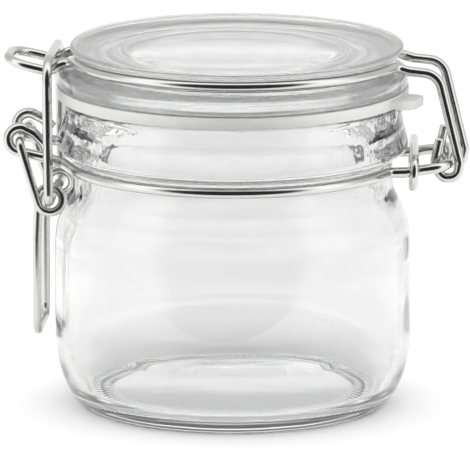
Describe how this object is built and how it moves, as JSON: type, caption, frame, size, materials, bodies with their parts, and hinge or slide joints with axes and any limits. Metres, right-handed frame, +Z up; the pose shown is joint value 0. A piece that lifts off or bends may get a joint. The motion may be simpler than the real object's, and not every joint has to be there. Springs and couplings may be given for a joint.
{
  "type": "glass preserving jar",
  "caption": "Clear glass preserving jar, empty and closed, with a glass lid, a translucent rubber ring with a pull tab and a hinged steel wire closure.",
  "frame": {"origin": "middle of the whole closed object's footprint, closure included, at the level it stands on; the jar's own axis is 0.83 mm towards -X", "axes": "+Z up along the jar's axis, +X towards the hinge, -X towards the latch, -Y towards the viewer of the picture"},
  "size_m": [0.1312, 0.101, 0.1034],
  "materials": {
    "jar_glass": "clear, polished",
    "lid_clear_glass": "clear, polished",
    "clear_rubber": "translucent, satin",
    "bright_steel": "bright drawn wire"
  },
  "bodies": {
    "jar": {"jar_body": "jar_glass", "neck_wire": "bright_steel", "link_ring": "bright_steel"},
    "lid": {"lid_glass": "lid_clear_glass", "lid_wire": "bright_steel", "gasket": "clear_rubber"},
    "lever": {"lever": "bright_steel"},
    "hoop": {"hoop": "bright_steel"}
  },
  "joints": [
    {"name": "lid_swing", "type": "hinge", "parent": "jar", "child": "lid", "pos_m": [0.06102, 0, 0.0719], "axis": [0, 1, 0], "range_deg": [0, 110]},
    {"name": "lever_swing", "type": "hinge", "parent": "jar", "child": "lever", "pos_m": [-0.06013, 0, 0.0766], "axis": [0, 1, 0], "range_deg": [0, 140], "deforming": ["hoop"]},
    {"name": "hoop_swing", "type": "hinge", "parent": "lever", "child": "hoop", "pos_m": [-0.05153, 0, 0.0599], "axis": [0, 1, 0], "range_deg": [-185, 0]}
  ],
  "couplings": [
    {"joint": "hoop_swing", "follows": "lever_swing", "ratio": -1.3}
  ]
}
